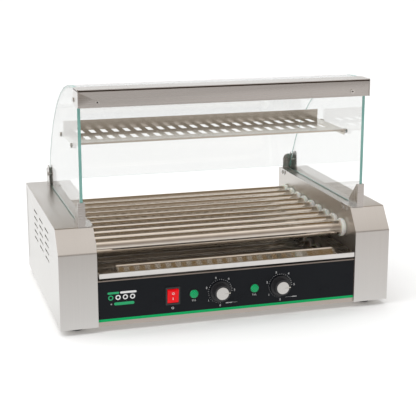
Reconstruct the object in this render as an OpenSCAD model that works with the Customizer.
// Countertop roller grill: driven tubes between two end housings, under a curved glass hood.
// Units are millimetres. X runs left to right, Y from front to back, Z up.
// The origin is the centre of the whole object's footprint, on the surface that the feet stand on.

/* [Body] */
// Overall width over both end housings
body_w = 580; // [500:1:760]
// Width of each end housing
housing_w = 63; // [56:1:90]
// How much lower the vertical front face of a housing is than its top
slope_drop = 37.5; // [20:0.5:50]
// Depth of the sloping shoulder between front face and top
slope_run = 27.5; // [15:0.5:30]
// Thickness of the folded sheet
sheet = 1.2; // [0.8:0.1:1.6]
// Outside radius of the folds
fold_r = 2.2; // [2:0.1:3]
// Height of the rubber feet
foot_h = 10; // [6:0.5:30]
// Radius of a foot at the top
foot_r = 13; // [9:0.5:20]

/* [Rollers] */
// Outside diameter of a roller
roller_d = 25; // [22:0.5:30]
// Free gap between neighbouring rollers
roller_gap = 10.7; // [10:0.1:16]
// Wall thickness of the roller tube
roller_wall = 1; // [0.8:0.1:1.5]
// Depth kept free in front of the first roller's axis
front_room = 56; // [50:1:90]
// Depth kept free behind the last roller's axis
rear_room = 46.4; // [42:0.2:80]
// Free height between the drip tray's rim and the bush collars
tray_clear = 15; // [8:0.5:40]
// How far the roller axes lie below the top of the housings
roller_drop = 42; // [38:0.5:60]
// Width of the white bush collar around each roller
bush_wall = 3.5; // [2.5:0.1:4.5]
// Length of the bush collar in front of the wall
bush_len = 7; // [4:0.5:12]
// Diameter of a heating rod
heater_d = 8; // [6:0.5:10]

/* [Chain drive] */
// Chain links in each lower strand, more than half the row needs
lower_links = 27; // [26:1:29]
// Thickness of a sprocket
sprocket_t = 2.8; // [2:0.1:3.5]
// Diameter of the drive motor
motor_d = 56; // [40:1:60]

/* [Control panel] */
// Height of the control panel
panel_h = 78.4; // [70:0.2:90]
// Height of the bare strip below the printed film
bare_strip = 7.6; // [5:0.2:12]
// Distance from the middle to the left dial
left_dial_x = -17.6; // [-30:0.2:0]
// Distance from the middle to the right dial
right_dial_x = 90.1; // [80:0.1:150]
// Height of the dials, lamps and switch above the housing's underside
dial_z = 42.2; // [38:0.2:44]
// Diameter of a knob's skirt
knob_d = 36; // [28:0.5:40]
// Height of a knob
knob_h = 13.5; // [10:0.5:20]
// Diameter of an indicator lamp
lamp_d = 15; // [10:0.5:18]
// Width of the power switch's frame
switch_w = 25; // [22:0.5:32]
// Height of the power switch's frame
switch_h = 31; // [28:0.5:36]
// Angle of the rocker to either side
rocker_angle = 9; // [6:0.5:12]

/* [Drip tray] */
// Gap between the panel's top and the tray
tray_gap = 5.1; // [3:0.1:12]
// Height of the tray's walls
tray_h = 8; // [6:0.5:14]
// Thickness of the tray's sheet
tray_t = 1; // [0.8:0.1:1.5]
// Depth of the grip flange behind the tray's front
grip_d = 24.5; // [15:0.5:28]
// Angle of the grip flange above level
grip_angle = 15; // [5:1:25]

/* [Hood] */
// Height of the hood's glass above the housings
hood_h = 224.7; // [180:0.1:260]
// Thickness of the side glass
glass_t = 5; // [4:0.5:6]
// Thickness of the curved glass
rear_glass_t = 4; // [3:0.5:6]
// Distance from the inner wall to the middle of the side glass
glass_set_out = 18.3; // [12:0.1:22]
// Height of the front trim
trim_h = 29; // [24:0.5:40]
// Depth of the front trim
trim_d = 37.5; // [30:0.5:45]
// Height of the shelf above the housings
shelf_up = 128; // [90:1:150]
// Depth of the shelf
shelf_d = 129; // [90:1:140]
// Height of the shelf's rear lip
shelf_lip = 17; // [8:0.5:25]
// Height of the glass clips
clip_h = 41; // [30:0.5:50]
// Width of the front clips
clip_w = 12; // [10:0.5:15]

/* [Hidden] */

// Clearances
run_gap = 0.05;    // radial, between a turning shaft and its bush
fit_gap = 0.2;     // around a piece that drops into a hole
slide_gap = 0.3;   // around the tray in its rails
turn_gap = 0.8;    // between a knob and the panel
eps = 0.01;        // how far a cutter passes a face

// Counts that the list of nodes and the chain's length are made for
roller_count = 9;
teeth = 16;
links_per_gap = 6;                       // chain links from one roller's axis to the next

// Screws
screw_r = 2;
screw_slack = 0.15;
screw_head_r = 3.6;
screw_head_t = 1.8;
screw_key_r = 1.3;                        // corner radius of the hexagon socket

// Overall frame, with Y = 0 at the housings' front face
roller_pitch = roller_d + roller_gap;
row_d = (roller_count - 1) * roller_pitch;
body_d = front_room + row_d + rear_room;
half_w = body_w / 2;
wall_x = half_w - housing_w;             // inboard face of the inner walls
base_z = foot_h;
panel_top = base_z + panel_h;
tray_z = panel_top + tray_gap;
bush_collar_r = roller_d / 2 + bush_wall;
roller_z = tray_z + tray_h + tray_clear + bush_collar_r;
top_z = roller_z + roller_drop;
shoulder_z = top_z - slope_drop;

// Louvres and rear slot of a housing's outer side
louvre_cols = 3;
louvre_rows = 5;
louvre_l = 42;
louvre_h = 3.6;
louvre_pitch_y = 66.8;
louvre_pitch_z = 12.6;
louvre_y = 103.5;
louvre_z = base_z + 85;
louvre_drop = 4.4;                        // how far a blade reaches below the top of its slot
louvre_in = 3;                            // and how far inwards
side_slot_w = 3.5;
side_slot_y = body_d - 18;

// Rollers and drive
roller_x0 = wall_x + 9;                  // left end of the tubes, left of the middle
chain_pitch = roller_pitch / links_per_gap;
pitch_r = chain_pitch / (2 * sin(180 / teeth));
tip_r = pitch_r + chain_pitch * 0.18;
seat_r = chain_pitch * 0.31;
sprocket_x = wall_x + 11;
tube_end_x = sprocket_x + sprocket_t + 1;
motor_y = front_room + row_d / 2;
motor_z = roller_z - sqrt(pow(lower_links * chain_pitch, 2) - pow(row_d / 2, 2));
chain_side_t = 1.2;
chain_top_t = 0.9;
chain_side_gap = 0.3;
chain_top_gap = 0.6;
chain_in_r = roller_d / 2 + 0.35;
chain_out_r = tip_r + chain_top_gap + chain_top_t;
bracket_x = sprocket_x + sprocket_t + 9.2;
bracket_t = 1.5;
motor_shaft_r = 3.5;
motor_boss_r = 9;
heater_bar_x = bracket_x + 12;
heater_end = 5;
bush_neck_r = roller_d / 2 + 2;
bush_shadow = 2;                          // length of the thin neck between collar and wall
bush_tail = 3;

// Panel
panel_y = 3;                              // front face of the sheet behind the film
film_t = 0.5;
film_y = panel_y - film_t;
panel_back = panel_y + sheet;
film_edge = 1.9;                          // steel left showing above the film
panel_lip = 14;                           // the fold along the panel's top
control_z = base_z + dial_z;
knob_y = film_y - turn_gap;               // back of a knob's skirt
knob_cap_r = knob_d * 0.3;
knob_cap_out = 0.6;
knob_grip_r = knob_d * 0.39;
skirt_t = 3;
shaft_r = 3;
lamp_left_x = left_dial_x - 46.2;
lamp_right_x = (left_dial_x + right_dial_x) / 2 + 7;
switch_x = left_dial_x - 83;
bezel_t = 2;
switch_wall = 2.9;
rocker_w = switch_w - 2 * switch_wall - 0.4;
rocker_hole_h = switch_h - 2 * switch_wall;
rocker_r = rocker_hole_h / 2 - 0.3;
rocker_y = film_y + 2;                    // pivot axis
rocker_pin_r = 1.5;
switch_depth = 22;

// Tray
tray_front = -2;
tray_back = body_d - 17;
tray_half = wall_x - sheet - slide_gap - 1;
rail_w = 7;
rail_front = panel_y + panel_lip + 2;
grip_half = tray_half - 32;
grip_fillet = 6;
tray_r = 1.6;

// Hood
glass_top = top_z + hood_h;
glass_front = slope_run + 0.2;
trim_front = glass_front - 15.7;
arc_y = glass_front + 38.3;               // where the curved glass starts to bend
glass_back = body_d - 18;
arc_run = glass_back - arc_y;
arc_r = (arc_run * arc_run + hood_h * hood_h) / (2 * hood_h);
arc_z = glass_top - arc_r;
rear_glass_foot = top_z + 7;
rear_glass_start = glass_front - 8;
glass_x = wall_x + glass_set_out;
glass_in = glass_x - glass_t / 2;
glass_out = glass_x + glass_t / 2;
trim_half = glass_out + fit_gap + sheet;
trim_recess = 1.5;
trim_groove = 2.8;
trim_top = glass_top + sheet;
trim_screw_z = trim_top - 20.4;
trim_side_y = trim_front + 38;
shelf_z = top_z + shelf_up;
shelf_t = 1;
shelf_front = glass_front + 58;
shelf_half = glass_in - 5.5;
shelf_flange = 10;
shelf_turn = 3;
slot_w = 10;
slot_l = 35;
slot_r = 2.5;
slot_pitch = 20.4;
shelf_screw_z = shelf_z - 5;
shelf_screw_y = [shelf_front + 10, shelf_front + shelf_d - 10];
clip_t = 1.2;
clip_front = glass_front - fit_gap - clip_t;
clip_foot_l = 42;
clip_run = 36;
clip_tab = 10;
rear_clip_y = glass_back - 30;
rear_fin = glass_set_out + 4;
tab_screw_z = top_z - 6;
front_tab_y = clip_front + 30;
rear_tab_y = rear_clip_y + 24;
clip_tab_y = [front_tab_y, rear_tab_y];
rear_screw_z = top_z + 22;
rear_screw_y = arc_y + sqrt(pow(arc_r - rear_glass_t, 2) - pow(rear_screw_z - arc_z, 2)) - screw_r - 3;
trim_screw_x = glass_in - 25;
trim_head_t = trim_recess - 0.1;

// Feet, rear panel and cord inlet
foot_x = half_w - housing_w / 2;
foot_y = [32, body_d - 32];
foot_recess_r = 4.5;
foot_recess_h = 4;
rear_panel_top = tray_z + 22;
rear_screw_x = wall_x - 9;
rear_screw_zs = [base_z + 14, rear_panel_top - 10];
vent_w = 3.6;
vent_pitch = 10;
gland_x = wall_x - 47;
gland_z = base_z + 32;
gland_r = 9;
gland_bore = 4;
gland_out = 12;
front_out = max(knob_h + knob_cap_out - knob_y, -tray_front);
origin_y = (front_out - gland_out - body_d) / 2;

// Colours
steel = [0.78, 0.77, 0.75];
bright = [0.86, 0.86, 0.86];
black = [0.1, 0.1, 0.11];
glass = [0.75, 0.9, 0.86, 0.35];
white = [0.93, 0.92, 0.89];

// ---- small geometry helpers ----

function unit(v) = v / norm(v);

// Points of the arc of radius r that replaces corner b between a and c
function fillet_at(a, b, c, r, n) =
    r <= 0 ? [b] :
    let (u = unit(a - b), w = unit(c - b), half = acos(u * w) / 2,
         reach = r / tan(half), mid = b + unit(u + w) * r / sin(half),
         p = b + u * reach - mid, q = b + w * reach - mid,
         start = atan2(p[1], p[0]), turn = (atan2(q[1], q[0]) - start + 540) % 360 - 180)
    [for (i = [0 : n]) mid + r * [cos(start + turn * i / n), sin(start + turn * i / n)]];

// An outline with the radius radii[i] at corner i
function rounded(pts, radii, n = 5) =
    let (k = len(pts))
    [for (i = [0 : k - 1]) each fillet_at(pts[(i + k - 1) % k], pts[i], pts[(i + 1) % k], radii[i], n)];

// Extrudes an outline drawn in (Y, Z) from x0 to x1
module along_x(x0, x1) {
    translate([x0, 0, 0]) rotate([90, 0, 90]) linear_extrude(x1 - x0) children();
}

// Extrudes an outline drawn in (X, Z) from y0 to y1
module along_y(y0, y1) {
    translate([0, y1, 0]) rotate([90, 0, 0]) linear_extrude(y1 - y0) children();
}

module rod_x(x0, x1, y, z, r, fn = 48) {
    translate([x0, y, z]) rotate([0, 90, 0]) cylinder(h = x1 - x0, r = r, $fn = fn);
}

module rod_y(y0, y1, x, z, r, fn = 48) {
    translate([x, y0, z]) rotate([-90, 0, 0]) cylinder(h = y1 - y0, r = r, $fn = fn);
}

module block(lo, hi) {
    translate(lo) cube(hi - lo);
}

// Draws its children as they are on the right, or mirrored on the left
module on_side(side) {
    mirror([side < 0 ? 1 : 0, 0, 0]) children();
}

module both_sides() {
    for (side = [-1, 1]) on_side(side) children();
}

// Moves the machine from its working frame to the part's own origin
module place() {
    translate([0, origin_y, 0]) children();
}

function roller_y(i) = front_room + (i - 1) * roller_pitch;

// ---- end housings and frame ----

// The housing's side view, set in by d
function housing_outline(d, bottom) =
    let (run = unit([slope_run, slope_drop]), n = [run[1], -run[0]],
         s0 = (d - d * n[0]) / run[0],
         s1 = (top_z - d - shoulder_z - d * n[1]) / run[1],
         p0 = [0, shoulder_z] + d * n + s0 * run,
         p1 = [0, shoulder_z] + d * n + s1 * run)
    rounded([[d, bottom], p0, p1, [body_d - d, top_z - d], [body_d - d, bottom]],
        [0, fold_r - d + 4, fold_r - d + 1, fold_r - d, 0]);

// Runs its children once per louvre, moved to the louvre's lower front corner
module each_louvre() {
    for (col = [0 : louvre_cols - 1], row = [0 : louvre_rows - 1])
        translate([half_w - sheet, louvre_y + col * louvre_pitch_y, louvre_z + row * louvre_pitch_z])
            children();
}

module louvre_blade() {
    along_y(fit_gap, louvre_l - fit_gap)
        polygon([[0, louvre_h], [0.6, louvre_h], [0.6 - louvre_in, louvre_h - louvre_drop],
                 [-louvre_in, louvre_h - louvre_drop + 0.6]]);
}

module housing() {
    color(steel) {
        difference() {
            along_x(half_w - sheet, half_w) polygon(housing_outline(0, base_z));
            each_louvre() block([-eps, 0, 0], [sheet + eps, louvre_l, louvre_h]);
            block([half_w - sheet - eps, side_slot_y, base_z + 21],
                  [half_w + eps, side_slot_y + side_slot_w, top_z - 8.5]);
        }
        each_louvre() louvre_blade();
        difference() {
            along_x(wall_x, half_w - sheet) polygon(housing_outline(0, base_z));
            along_x(wall_x - 1, half_w) polygon(housing_outline(sheet, base_z - 1));
        }
    }
}

module inner_wall() {
    color(steel) difference() {
        along_x(wall_x, wall_x + sheet) polygon(housing_outline(sheet, base_z + sheet));
        for (i = [1 : roller_count])
            rod_x(wall_x - 1, wall_x + sheet + 1, roller_y(i), roller_z, bush_neck_r + fit_gap);
        for (y = clip_tab_y) rod_x(wall_x - 1, wall_x + sheet + 1, y, tab_screw_z, screw_r);
    }
}

module base_pan() {
    edge = half_w - sheet;
    color(steel) difference() {
        union() {
            block([-edge, panel_back, base_z], [edge, body_d - sheet, base_z + sheet]);
            both_sides() block([edge - sheet, panel_back, base_z], [edge, body_d - sheet, base_z + 16]);
        }
        for (side = [-1, 1], y = foot_y)
            translate([side * foot_x, y, base_z - 1]) cylinder(h = 4, r = screw_r, $fn = 24);
        for (i = [-4 : 4], y = [body_d * 0.35, body_d * 0.65])
            block([i * 40 - 12, y, base_z - 1], [i * 40 + 12, y + 5, base_z + sheet + 1]);
    }
}

module rear_panel() {
    color(steel) difference() {
        union() {
            block([-wall_x + fit_gap, body_d - sheet, base_z],
                  [wall_x - fit_gap, body_d, rear_panel_top]);
            block([-wall_x + fit_gap, body_d - 12, rear_panel_top - sheet],
                  [wall_x - fit_gap, body_d - sheet, rear_panel_top]);
        }
        for (i = [-9 : 9])
            block([i * vent_pitch - vent_w / 2, body_d - 3, base_z + 26],
                  [i * vent_pitch + vent_w / 2, body_d + 1, base_z + 66]);
        rod_y(body_d - 3, body_d + 1, gland_x, gland_z, gland_r - 2);
        for (side = [-1, 1], z = rear_screw_zs)
            rod_y(body_d - 3, body_d + 1, side * rear_screw_x, z, screw_r, 24);
    }
}

module tray_rails() {
    z = tray_z - fit_gap;
    color(steel) both_sides() along_y(rail_front, tray_back + 4)
        polygon([[wall_x, z - 10], [wall_x, z + tray_h - 1], [wall_x - sheet, z + tray_h - 1],
                 [wall_x - sheet, z], [wall_x - rail_w, z], [wall_x - rail_w, z - sheet],
                 [wall_x - sheet, z - sheet], [wall_x - sheet, z - 10]]);
}

module feet() {
    color(black) for (side = [-1, 1], y = foot_y) translate([side * foot_x, y, 0])
        rotate_extrude($fn = 48) difference() {
            polygon([[0, 0], [foot_r - 2.5, 0], [foot_r - 1.5, 1], [foot_r, foot_h], [0, foot_h]]);
            square([2 * screw_r, foot_h * 3], center = true);
            square([2 * foot_recess_r, 2 * foot_recess_h], center = true);
        }
}

module body_screws() {
    color(bright) {
        for (side = [-1, 1], y = foot_y)
            translate([side * foot_x, y, foot_recess_h - screw_head_t]) {
                cylinder(h = screw_head_t, r = screw_head_r, $fn = 32);
                cylinder(h = foot_h + 1, r = screw_r - screw_slack, $fn = 24);
            }
        for (side = [-1, 1], z = rear_screw_zs) {
            rod_y(body_d, body_d + screw_head_t, side * rear_screw_x, z, screw_head_r, 32);
            rod_y(body_d - 6, body_d, side * rear_screw_x, z, screw_r - screw_slack, 24);
        }
    }
}

module cable_gland() {
    color(black) difference() {
        union() {
            rod_y(body_d - sheet - 7, body_d - sheet, gland_x, gland_z, gland_r - 0.5, 6);
            rod_y(body_d - sheet, body_d, gland_x, gland_z, gland_r - 2 - fit_gap);
            rod_y(body_d, body_d + 4, gland_x, gland_z, gland_r, 6);
            rod_y(body_d + 4, body_d + gland_out, gland_x, gland_z, gland_r - 2);
        }
        rod_y(body_d - 30, body_d + 30, gland_x, gland_z, gland_bore);
    }
}

// ---- control panel ----

module panel_holes(gap = 0) {
    for (x = [left_dial_x, right_dial_x]) rod_y(-5, 12, x, control_z, shaft_r + 0.6 + gap);
    for (x = [lamp_left_x, lamp_right_x]) rod_y(-5, 12, x, control_z, lamp_d * 0.4 + gap);
    block([switch_x - switch_w / 2 + 1.4 - gap, -5, control_z - switch_h / 2 + 1.4 - gap],
          [switch_x + switch_w / 2 - 1.4 + gap, 12, control_z + switch_h / 2 - 1.4 + gap]);
}

module control_panel() {
    edge = wall_x - fit_gap;
    color(steel) difference() {
        along_x(-edge, edge) polygon(rounded(
            [[panel_y, base_z], [panel_y, panel_top], [panel_y + panel_lip, panel_top],
             [panel_y + panel_lip, panel_top - sheet], [panel_back, panel_top - sheet],
             [panel_back, base_z]], [0, 1.6, 0, 0, 0.4, 0]));
        panel_holes();
    }
}

module panel_film() {
    edge = wall_x - 0.6;
    color(black) difference() {
        block([-edge, film_y, base_z + bare_strip], [edge, panel_y, panel_top - film_edge]);
        panel_holes();
    }
}

module switch_frame() {
    y0 = film_y - bezel_t;
    hw = switch_w / 2;
    hh = switch_h / 2;
    color(black) difference() {
        union() {
            along_y(y0, film_y) translate([switch_x, control_z]) polygon(rounded(
                [[-hw, -hh], [-hw, hh], [hw, hh], [hw, -hh]], [1.5, 1.5, 1.5, 1.5]));
            block([switch_x - hw + 1.6, film_y, control_z - hh + 1.6],
                  [switch_x + hw - 1.6, film_y + switch_depth, control_z + hh - 1.6]);
        }
        block([switch_x - hw + switch_wall, y0 - 1, control_z - rocker_hole_h / 2],
              [switch_x + hw - switch_wall, film_y + switch_depth - 3, control_z + rocker_hole_h / 2]);
        rod_x(switch_x - hw + 1.9, switch_x + hw - 1.9, rocker_y, control_z,
              rocker_pin_r + run_gap, 32);
    }
}

module rocker() {
    hw = rocker_w / 2;
    color([0.82, 0.06, 0.05])
        translate([switch_x, rocker_y, control_z]) rotate([rocker_angle, 0, 0]) {
            along_x(-hw, hw) intersection() {
                circle(r = rocker_r, $fn = 96);
                polygon([[-6.2, -rocker_r], [-5.2, 0], [-6.2, rocker_r], [3, rocker_r], [5, 0],
                         [3, -rocker_r]]);
            }
            rod_x(-hw - 0.9, hw + 0.9, 0, 0, rocker_pin_r, 32);
        }
}

module lamp_holders() {
    color(black) for (x = [lamp_left_x, lamp_right_x]) difference() {
        union() {
            rod_y(film_y - 1, film_y, x, control_z, lamp_d / 2 + 0.5);
            rod_y(film_y, film_y + 20, x, control_z, lamp_d * 0.4 - fit_gap);
        }
        rod_y(film_y - 2, film_y + 6, x, control_z, lamp_d * 0.4 - 1.2);
    }
}

module lamp_lenses() {
    r = lamp_d / 2 - 0.3;
    color([0.05, 0.7, 0.35]) for (x = [lamp_left_x, lamp_right_x])
        translate([x, film_y - 1, control_z]) rotate([90, 0, 0]) rotate_extrude($fn = 64)
            polygon([[0, -5], [lamp_d * 0.4 - 1.3, -5], [lamp_d * 0.4 - 1.3, 0], [r, 0], [r, 1],
                for (i = [1 : 6]) [r * cos(i * 15), 1 + 2.2 * sin(i * 15)]]);
}

// A knob on the axis through (x, control_z), with its pointer to the right
module knob(x) {
    flutes = 20;
    color(black) translate([x, knob_y, control_z]) rotate([90, 0, 0]) difference() {
        union() {
            cylinder(h = skirt_t, r = knob_d / 2, $fn = 96);
            linear_extrude(knob_h) difference() {
                circle(r = knob_grip_r, $fn = 96);
                for (i = [0 : flutes - 1]) rotate((i + 0.5) * 360 / flutes)
                    translate([knob_grip_r + 0.9, 0]) circle(r = 1.6, $fn = 20);
            }
        }
        translate([0, 0, -1]) cylinder(h = knob_h - 3, r = shaft_r + run_gap, $fn = 48);
        translate([0, 0, knob_h - 1]) cylinder(h = 3, r = knob_cap_r + 0.1, $fn = 64);
    }
}

module knob_cap(x) {
    color(bright) translate([x, knob_y - knob_h + 1, control_z]) rotate([90, 0, 0]) difference() {
        cylinder(h = 1 + knob_cap_out, r = knob_cap_r, $fn = 64);
        translate([knob_cap_r * 0.35, -0.5, 1]) cube([knob_cap_r, 1, 2]);
    }
}

module knob_shaft(x) {
    color(bright) rod_y(knob_y - knob_h + 5, panel_back + 16, x, control_z, shaft_r);
}

module thermostats() {
    color(white) for (x = [left_dial_x, right_dial_x]) difference() {
        union() {
            block([x - 17, panel_back + 8, control_z - 14], [x + 17, panel_back + 38, control_z + 14]);
            rod_y(panel_back, panel_back + 8, x, control_z, shaft_r + 2.5);
        }
        rod_y(panel_back - 1, panel_back + 18, x, control_z, shaft_r + run_gap);
    }
}

module terminal_block() {
    color(white) difference() {
        block([gland_x - 70, body_d - 60, base_z + sheet],
              [gland_x - 22, body_d - 40, base_z + sheet + 16]);
        for (i = [0 : 3]) translate([gland_x - 64 + i * 12, body_d - 50, base_z + sheet + 6])
            cylinder(h = 20, r = 2.4, $fn = 24);
    }
}

// ---- rollers, heating and drive ----

module roller_bushes() {
    back = wall_x + sheet + bush_tail;
    color(white) both_sides() for (i = [1 : roller_count]) difference() {
        union() {
            rod_x(wall_x - bush_len, wall_x - bush_shadow, roller_y(i), roller_z, bush_collar_r, 64);
            rod_x(wall_x - bush_shadow, back, roller_y(i), roller_z, bush_neck_r, 64);
        }
        rod_x(wall_x - 30, wall_x + 30, roller_y(i), roller_z, roller_d / 2 + run_gap, 96);
    }
}

module roller(i) {
    color(bright) difference() {
        rod_x(-roller_x0, tube_end_x, roller_y(i), roller_z, roller_d / 2, 96);
        rod_x(-roller_x0 - 1, tube_end_x + 1, roller_y(i), roller_z, roller_d / 2 - roller_wall, 96);
    }
}

// The sprocket's outline, with a seat for a chain roller straight up
module sprocket_outline(bore) {
    difference() {
        circle(r = tip_r, $fn = 128);
        circle(r = bore, $fn = 96);
        for (i = [0 : teeth - 1]) rotate(i * 360 / teeth) {
            translate([0, pitch_r]) circle(r = seat_r, $fn = 24);
            polygon([[-seat_r, pitch_r], [seat_r, pitch_r], [seat_r * 1.4, tip_r + 1],
                     [-seat_r * 1.4, tip_r + 1]]);
        }
    }
}

module sprocket(i) {
    color(steel * 0.8) along_x(sprocket_x, sprocket_x + sprocket_t)
        translate([roller_y(i), roller_z]) sprocket_outline(roller_d / 2);
}

module motor_sprocket() {
    x1 = sprocket_x + sprocket_t;
    color(steel * 0.8) {
        along_x(sprocket_x, x1) translate([motor_y, motor_z]) sprocket_outline(motor_shaft_r - 1);
        rod_x(x1, bracket_x - 4.5, motor_y, motor_z, motor_boss_r - 2);
        rod_x(sprocket_x - 3, bracket_x + 10, motor_y, motor_z, motor_shaft_r);
    }
}

// The chain's path, r away from the three outer shafts, as arcs around them
function chain_loop(r) =
    let (a = [roller_y(1), roller_z], b = [roller_y(roller_count), roller_z], c = [motor_y, motor_z],
         lean = atan2(roller_z - motor_z, row_d / 2), wrap = 180 - lean, n = 14)
    [for (i = [0 : n]) b + r * [cos(90 - wrap * i / n), sin(90 - wrap * i / n)],
     for (i = [0 : n]) c + r * [cos(lean - 90 - 2 * lean * i / n), sin(lean - 90 - 2 * lean * i / n)],
     for (i = [0 : n]) a + r * [cos(270 - lean - wrap * i / n), sin(270 - lean - wrap * i / n)]];

module drive_chain() {
    x0 = sprocket_x - chain_side_gap;
    x1 = sprocket_x + sprocket_t + chain_side_gap;
    color(steel * 0.6) difference() {
        along_x(x0 - chain_side_t, x1 + chain_side_t) polygon(chain_loop(chain_out_r));
        along_x(x0 - 5, x1 + 5) polygon(chain_loop(chain_in_r));
        along_x(x0, x1) polygon(chain_loop(tip_r + chain_top_gap));
    }
}

module motor_bracket() {
    w = motor_d / 2 + 6;
    color(steel) difference() {
        union() {
            block([bracket_x, motor_y - w, base_z + sheet],
                  [bracket_x + bracket_t, motor_y + w, motor_z + motor_d / 2 - 8]);
            block([bracket_x + bracket_t, motor_y - w, base_z + sheet],
                  [bracket_x + 14, motor_y + w, base_z + sheet + bracket_t]);
        }
        rod_x(bracket_x - 1, bracket_x + 3, motor_y, motor_z, motor_boss_r + fit_gap);
    }
}

module drive_motor() {
    x0 = bracket_x + bracket_t;
    color(steel * 0.9) difference() {
        union() {
            rod_x(x0, half_w - sheet - 4, motor_y, motor_z, motor_d / 2, 96);
            rod_x(bracket_x - 3, x0, motor_y, motor_z, motor_boss_r);
        }
        rod_x(bracket_x - 5, x0 + 10, motor_y, motor_z, motor_shaft_r + run_gap);
    }
}

module heater_rods() {
    bar = heater_bar_x + sheet;
    color([0.35, 0.3, 0.28]) for (i = [1 : roller_count])
        rod_x(-bar - heater_end, bar + heater_end, roller_y(i), roller_z, heater_d / 2);
}

module heater_brackets() {
    y0 = roller_y(1) - tip_r - 8;
    y1 = roller_y(roller_count) + tip_r + 8;
    x0 = wall_x + sheet;
    z0 = roller_z - 14;
    z1 = roller_z + 14;
    color(steel) both_sides() {
        difference() {
            block([heater_bar_x, y0, z0], [heater_bar_x + sheet, y1, z1]);
            for (i = [1 : roller_count])
                rod_x(heater_bar_x - 1, heater_bar_x + 3, roller_y(i), roller_z, heater_d / 2);
        }
        for (y = [y0, y1 - sheet]) block([x0, y, z0], [heater_bar_x, y + sheet, z1]);
    }
}

// ---- drip tray ----

module tray_shell() {
    difference() {
        block([-tray_half, tray_front, tray_z], [tray_half, tray_back, tray_z + tray_h]);
        block([-tray_half + tray_t, tray_front + tray_t, tray_z + tray_t],
              [tray_half - tray_t, tray_back - tray_t, tray_z + tray_h + 1]);
    }
}

module drip_tray() {
    w = grip_half + grip_fillet;
    color(bright) {
        tray_shell();
        translate([0, tray_front, tray_z + tray_h - tray_t]) rotate([grip_angle, 0, 0])
            linear_extrude(tray_t) polygon(rounded(
                [[-w, 0], [-grip_half, 0.6], [-grip_half, grip_d], [grip_half, grip_d],
                 [grip_half, 0.6], [w, 0]], [0, 4, 3, 3, 4, 0]));
    }
}

// ---- hood ----

// Outline of the hood's side, set in by d, from the front edge over the bend down to z = bottom
function hood_outline(d, front, bottom) =
    let (r = arc_r - d, a1 = asin((bottom - arc_z) / r), n = 40)
    [[front, bottom], [front, glass_top - d],
     for (i = [0 : n]) [arc_y, arc_z] + r * [sin((90 - a1) * i / n), cos((90 - a1) * i / n)]];

module side_glass() {
    color(glass) difference() {
        along_x(glass_in, glass_out) polygon(hood_outline(0, glass_front, top_z + clip_t));
        for (y = shelf_screw_y)
            rod_x(glass_in - 1, glass_out + 1, y, shelf_screw_z, screw_r + fit_gap);
        rod_x(glass_in - 1, glass_out + 1, trim_side_y, trim_screw_z, screw_r + fit_gap);
        rod_x(glass_in - 1, glass_out + 1, rear_screw_y, rear_screw_z, screw_r + fit_gap);
    }
}

module rear_glass() {
    w = glass_in - fit_gap;
    color(glass) difference() {
        along_x(-w, w) polygon(hood_outline(0, rear_glass_start, rear_glass_foot));
        along_x(-w - 1, w + 1)
            polygon(hood_outline(rear_glass_t, rear_glass_start - 1, rear_glass_foot - 1));
    }
}

module hood_trim() {
    f = trim_front + trim_recess;
    b = trim_front + trim_d;
    t = trim_top;
    low = t - trim_h;
    jog = t - sheet - trim_groove;
    rear = trim_side_y + 8;
    color(steel) {
        along_x(-trim_half + sheet, trim_half - sheet)
            polygon([[trim_front, t - sheet], [trim_front, t], [b, t], [b, t - sheet]]);
        difference() {
            along_x(-trim_half + sheet, trim_half - sheet)
                polygon([[f, low], [f, jog], [f + 2, jog], [f + 2, t - sheet],
                         [f + 2 + sheet, t - sheet],
                         [f + 2 + sheet, jog - sheet], [f + sheet, jog - sheet],
                         [f + sheet, low + sheet], [f + 6, low + sheet], [f + 6, low]]);
            for (side = [-1, 1])
                rod_y(f - 1, f + 5, side * trim_screw_x, trim_screw_z, screw_r, 24);
        }
        both_sides() difference() {
            along_x(trim_half - sheet, trim_half) polygon(rounded(
                [[trim_front, low], [trim_front, t], [b, t], [rear, t - 10], [rear, low + 3],
                 [trim_front + 18, low]], [0, 3, 4, 6, 6, 8]));
            rod_x(trim_half - 5, trim_half + 5, trim_side_y, trim_screw_z, screw_r + fit_gap);
        }
    }
}

module trim_brackets() {
    y0 = trim_front + trim_recess + sheet;
    x1 = glass_in;
    color(steel) both_sides() difference() {
        union() {
            block([trim_screw_x - 9, y0, trim_screw_z - 6], [x1, y0 + sheet, trim_screw_z + 6]);
            block([x1 - sheet, y0, trim_screw_z - 6], [x1, trim_side_y + 7, trim_screw_z + 6]);
        }
        rod_x(x1 - 5, x1 + 5, trim_side_y, trim_screw_z, screw_r + fit_gap);
        rod_y(y0 - 1, y0 + 5, trim_screw_x, trim_screw_z, screw_r, 24);
    }
}

module shelf_slot(x, y) {
    w = slot_w / 2;
    l = slot_l / 2;
    translate([x, y, shelf_z - 3]) linear_extrude(6)
        polygon(rounded([[-w, -l], [w, -l], [w, l], [-w, l]], [slot_r, slot_r, slot_r, slot_r]));
}

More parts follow.
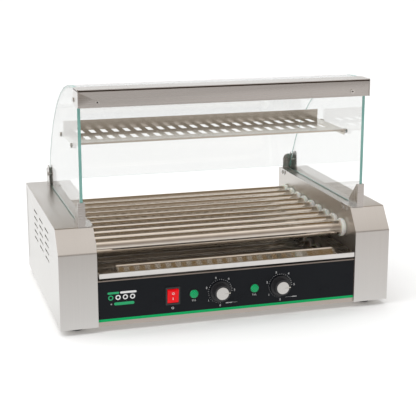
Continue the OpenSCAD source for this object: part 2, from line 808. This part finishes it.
module shelf() {
    back = shelf_front + shelf_d;
    columns = floor((shelf_half - 14) / slot_pitch - 0.5);
    color(bright) difference() {
        union() {
            block([-shelf_half, shelf_front, shelf_z - shelf_t], [shelf_half, back, shelf_z]);
            block([-shelf_half, shelf_front, shelf_z - shelf_turn],
                  [shelf_half, shelf_front + shelf_t, shelf_z]);
            block([-shelf_half, back - shelf_t, shelf_z - shelf_t],
                  [shelf_half, back, shelf_z + shelf_lip]);
            block([-shelf_half, back - 2.4, shelf_z + shelf_lip - 11],
                  [shelf_half, back - shelf_t, shelf_z + shelf_lip]);
            both_sides() block([shelf_half - shelf_t, shelf_front, shelf_z - shelf_flange],
                               [shelf_half, back, shelf_z]);
        }
        for (i = [-columns - 1 : columns], y = [shelf_front + 47.5, shelf_front + shelf_d - 20.5])
            shelf_slot((i + 0.5) * slot_pitch, y);
        for (y = shelf_screw_y)
            rod_x(-glass_x, glass_x, y, shelf_screw_z, screw_r + fit_gap, 24);
    }
}

module shelf_spacers() {
    color(bright) both_sides() for (y = shelf_screw_y) difference() {
        rod_x(shelf_half, glass_in, y, shelf_screw_z, 4.5);
        rod_x(shelf_half - 1, glass_in + 1, y, shelf_screw_z, screw_r + fit_gap, 24);
    }
}

// Cheek plates, web, foot and folded tab of a front clip, on the right
module front_clip() {
    x0 = glass_x - clip_w / 2;
    x1 = glass_x + clip_w / 2;
    z0 = top_z;
    z1 = top_z + clip_h;
    cheek = rounded([[clip_front, z0], [clip_front, z1], [clip_front + 5, z1],
        [clip_front + clip_run, z0 + 8], [clip_front + clip_run, z0]], [0, 0, 3, 5, 0]);
    color(steel) {
        for (x = [x0, x1 - clip_t]) along_x(x, x + clip_t) polygon(cheek);
        block([x0, clip_front, z0], [x1, clip_front + clip_t, z1]);
        translate([0, 0, z0]) linear_extrude(clip_t) polygon(rounded(
            [[wall_x - clip_t, clip_front + 13], [wall_x - clip_t, clip_front + clip_foot_l],
             [x1, clip_front + clip_foot_l], [x1, clip_front], [wall_x + 4, clip_front]],
            [0, 0, 4, 0, 4]));
        clip_tab(clip_front + 14, clip_front + clip_foot_l, front_tab_y);
    }
}

// The tab that folds down over the inner wall and takes a screw
module clip_tab(y0, y1, screw_y) {
    color(steel) difference() {
        along_x(wall_x - clip_t, wall_x) polygon(rounded(
            [[y0, top_z + clip_t], [y1, top_z + clip_t], [y1, top_z - clip_tab],
             [y0, top_z - clip_tab]], [0, 0, 4, 4]));
        rod_x(wall_x - 5, wall_x + 5, screw_y, tab_screw_z, screw_r, 24);
    }
}

// Cheeks, inboard fin, foot and folded tab of a rear clip, on the right
module rear_clip() {
    x0 = glass_x - clip_w / 2;
    x1 = glass_x + clip_w / 2;
    y0 = rear_clip_y;
    y1 = glass_back + 2.4;
    z0 = top_z;
    z1 = top_z + clip_h - 2;
    cheek = rounded([[y0, z0], [y0 + 4, z1], [y0 + 18, z1], [y1 - clip_t, z0 + 14], [y1 - clip_t, z0]],
        [0, 5, 8, 6, 0]);
    color(steel) difference() {
        union() {
            along_x(x1 - clip_t, x1) polygon(cheek);
            along_x(x0, x0 + clip_t) difference() {
                polygon(cheek);
                polygon(hood_outline(-0.4, rear_glass_start, z0 + clip_t + 1));
            }
            along_y(y1 - clip_t, y1) polygon(rounded(
                [[x1 - rear_fin, z0], [x1 - rear_fin, z1 - 8], [x1, z1 - 8], [x1, z0]], [0, 10, 3, 0]));
            block([wall_x - clip_t, y0, z0], [x1, y1, z0 + clip_t]);
            clip_tab(y0 + 12, y1, rear_tab_y);
        }
        rod_x(x0 - 5, x1 + 5, rear_screw_y, rear_screw_z, screw_r + fit_gap, 24);
    }
}

// A button-head screw with its shank along -X from a face at x, on the right
module screw_x(x, y, z, shank) {
    difference() {
        union() {
            rod_x(x, x + screw_head_t, y, z, screw_head_r, 32);
            rod_x(x - shank, x, y, z, screw_r - screw_slack, 24);
        }
        rod_x(x + screw_head_t - 1, x + screw_head_t + 1, y, z, screw_key_r, 6);
    }
}

module hood_screws() {
    f = trim_front + trim_recess;
    color(bright) both_sides() {
        for (y = shelf_screw_y) screw_x(glass_out, y, shelf_screw_z, glass_out - shelf_half + 4);
        screw_x(trim_half, trim_side_y, trim_screw_z, trim_half - glass_in + sheet);
        screw_x(glass_x + clip_w / 2, rear_screw_y, rear_screw_z, clip_w - clip_t);
        for (y = clip_tab_y) mirror([1, 0, 0]) translate([-2 * wall_x, 0, 0])
            screw_x(wall_x + clip_t, y, tab_screw_z, clip_t + sheet + 2);
        difference() {
            union() {
                rod_y(f - trim_head_t, f, trim_screw_x, trim_screw_z, screw_head_r, 32);
                rod_y(f, f + 2 * sheet + 3, trim_screw_x, trim_screw_z, screw_r - screw_slack, 24);
            }
            rod_y(f - 3, f - trim_head_t + 0.8, trim_screw_x, trim_screw_z, screw_key_r, 6);
        }
    }
}

// ---- assembly ----

place() base_pan();
place() on_side(-1) housing();  // left_housing
place() on_side(1) housing();  // right_housing
place() on_side(-1) inner_wall();  // left_inner_wall
place() on_side(1) inner_wall();  // right_inner_wall
place() rear_panel();
place() tray_rails();
place() control_panel();
place() panel_film();
place() feet();
place() body_screws();
place() cable_gland();
place() on_side(-1) side_glass();  // left_glass
place() on_side(1) side_glass();  // right_glass
place() rear_glass();
place() hood_trim();
place() trim_brackets();
place() shelf();
place() shelf_spacers();
place() both_sides() front_clip();  // front_clips
place() both_sides() rear_clip();  // rear_clips
place() hood_screws();
place() switch_frame();
place() rocker();
place() lamp_holders();
place() lamp_lenses();
place() knob(left_dial_x);  // left_knob
place() knob(right_dial_x);  // right_knob
place() knob_cap(left_dial_x);  // left_knob_cap
place() knob_cap(right_dial_x);  // right_knob_cap
place() knob_shaft(left_dial_x);  // left_knob_shaft
place() knob_shaft(right_dial_x);  // right_knob_shaft
place() thermostats();
place() terminal_block();
place() roller_bushes();
for (i = [1 : roller_count]) {
    place() roller(i);
    place() sprocket(i);
}
place() heater_rods();
place() heater_brackets();
place() drive_motor();
place() motor_bracket();
place() motor_sprocket();
place() drive_chain();
place() drip_tray();
